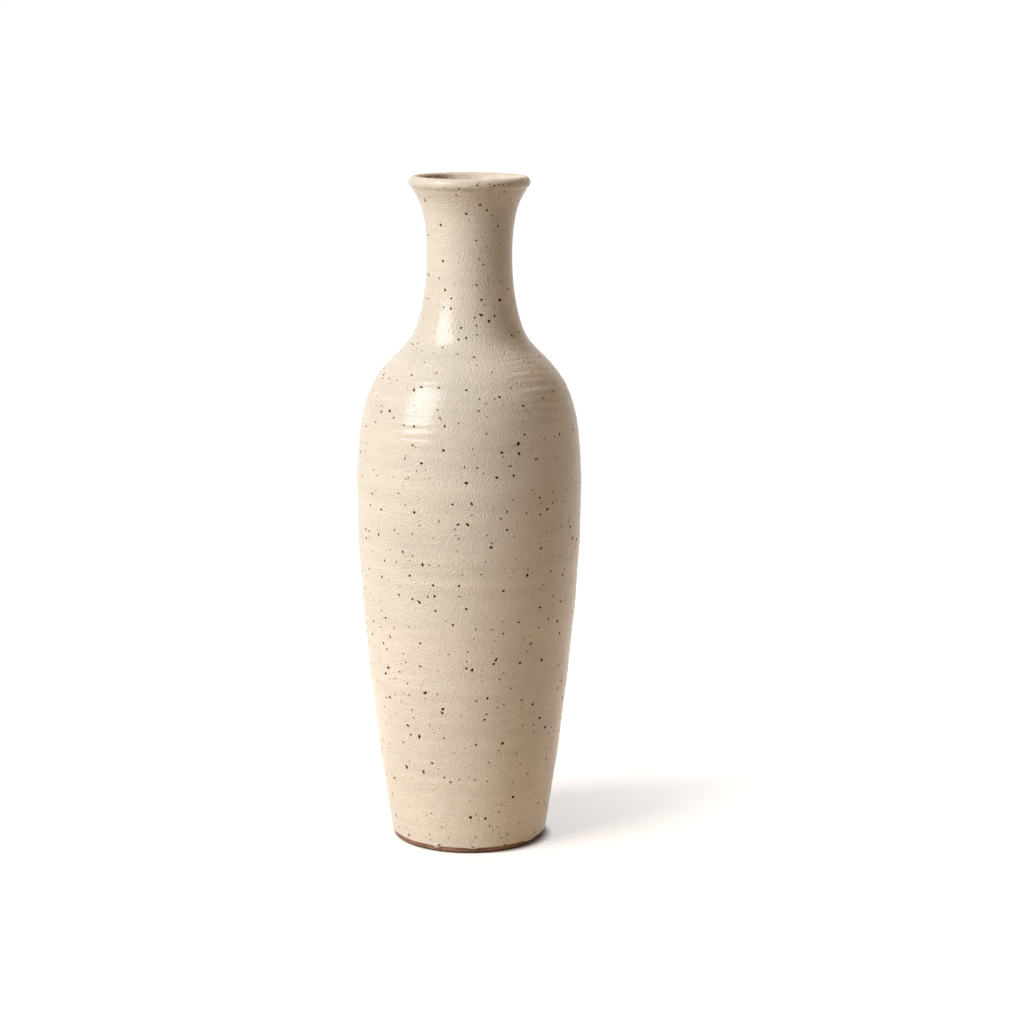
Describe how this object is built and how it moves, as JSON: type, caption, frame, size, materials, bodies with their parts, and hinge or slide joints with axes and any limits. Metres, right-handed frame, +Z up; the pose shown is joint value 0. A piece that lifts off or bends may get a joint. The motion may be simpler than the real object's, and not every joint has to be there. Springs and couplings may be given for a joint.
{
  "type": "bottle vase",
  "caption": "Tall thrown stoneware bottle vase with a narrow flared neck, speckled oatmeal satin glaze and a bare clay foot ring, for cut stems.",
  "frame": {"origin": "centre of the foot ring's resting plane, on the vase's axis", "axes": "+Z up the throwing axis towards the mouth; the vase is round, so X and Y have no preferred direction, and the picture looks along +Y"},
  "size_m": [0.1008, 0.1008, 0.3],
  "materials": {
    "stoneware": "fired, bare, trimmed and sponged, iron-bearing",
    "slip": "fired slip, smooth",
    "speckled_glaze": "satin, oatmeal, iron specks bleeding through",
    "liner_glaze": "satin, plain oatmeal"
  },
  "bodies": {
    "root": {"clay_body": "stoneware", "joint_slip": "slip", "clay_neck": "stoneware", "outer_glaze": "speckled_glaze", "liner_glaze": "liner_glaze"}
  },
  "joints": []
}
